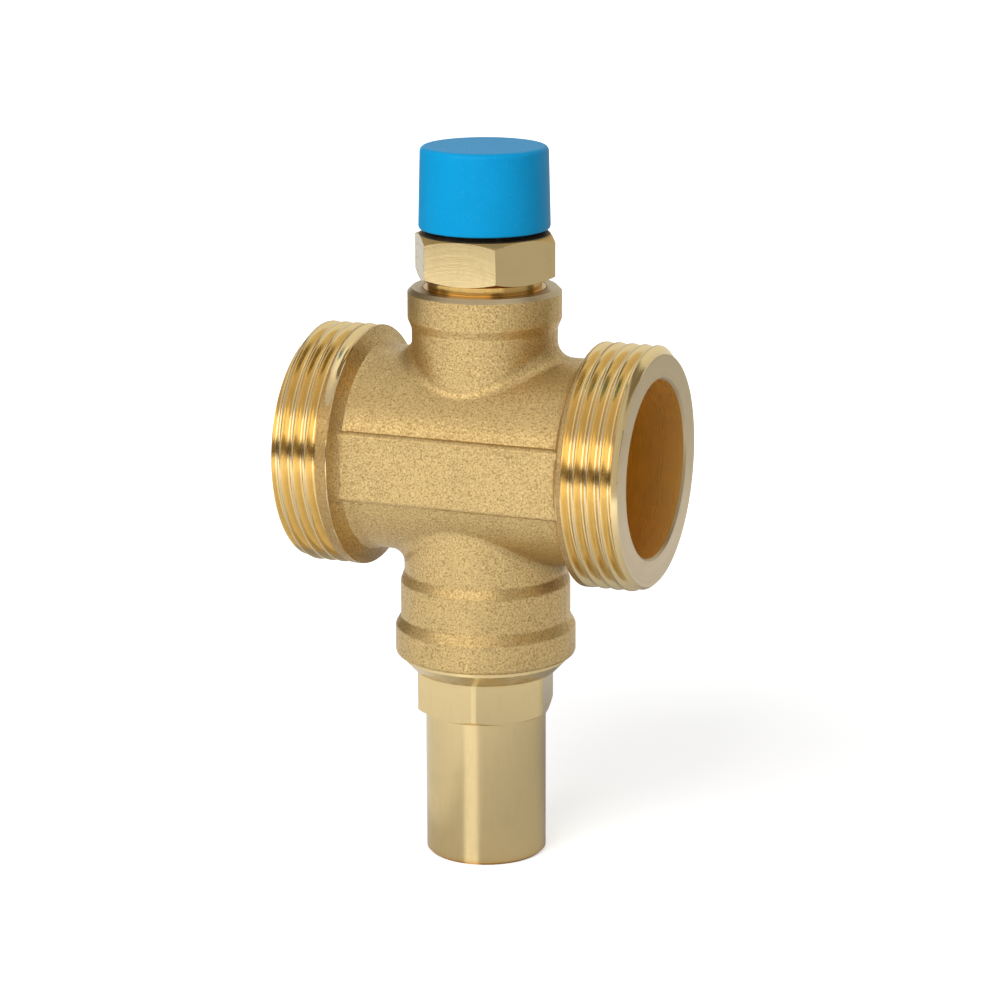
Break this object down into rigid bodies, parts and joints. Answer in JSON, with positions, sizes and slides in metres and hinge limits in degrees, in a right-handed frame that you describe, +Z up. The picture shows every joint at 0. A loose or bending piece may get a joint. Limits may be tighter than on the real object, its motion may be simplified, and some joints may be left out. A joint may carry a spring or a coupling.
{
  "type": "anti-freeze valve",
  "caption": "Brass in-line anti-freeze valve with two male-threaded ports, a spring-loaded vacuum breaker under a vented cap on top and a wax-operated drain with an outlet tube below.",
  "frame": {"origin": "middle of the drain tube's end, on the vertical axis of the valve", "axes": "+Z up the vertical axis towards the vent cap, +X along the pipe run towards the right port, -Y towards the front panel"},
  "size_m": [0.0624, 0.042, 0.1248],
  "materials": {
    "cast_brass": "shot-blasted",
    "turned_brass": "turned",
    "blue_plastic": "satin",
    "white_plastic": "satin",
    "black_rubber": "matte",
    "spring_steel": "drawn"
  },
  "bodies": {
    "valve": {"valve_body": "cast_brass", "breaker_body": "turned_brass", "breaker_o_ring": "black_rubber", "vent_cap": "blue_plastic", "breaker_spring": "spring_steel", "drain_insert": "turned_brass", "drain_o_ring": "black_rubber", "spring_seat": "turned_brass", "retaining_ring": "spring_steel", "opening_spring": "spring_steel", "element_cage": "white_plastic", "cage_cap": "spring_steel", "overtravel_spring": "spring_steel"},
    "breaker": {"breaker_poppet": "white_plastic", "poppet_seal": "black_rubber", "spring_clip": "spring_steel"},
    "shutter": {"drain_shutter": "turned_brass", "shutter_seal": "black_rubber", "wax_piston": "spring_steel"},
    "element": {"wax_capsule": "turned_brass", "wax_guide": "turned_brass"}
  },
  "joints": [
    {"name": "breaker_open", "type": "slide", "parent": "valve", "child": "breaker", "axis": [0, 0, -1], "range_m": [0, 0.0025], "stiffness_N_per_m": 100, "springref_m": -0.002, "deforming": ["breaker_spring"]},
    {"name": "drain_open", "type": "slide", "parent": "valve", "child": "shutter", "axis": [0, 0, 1], "range_m": [0, 0.003], "stiffness_N_per_m": 300, "springref_m": -0.003, "deforming": ["opening_spring"]},
    {"name": "element_overtravel", "type": "slide", "parent": "valve", "child": "element", "axis": [0, 0, 1], "range_m": [0, 0.0015], "stiffness_N_per_m": 500, "springref_m": -0.003, "deforming": ["overtravel_spring"]}
  ]
}
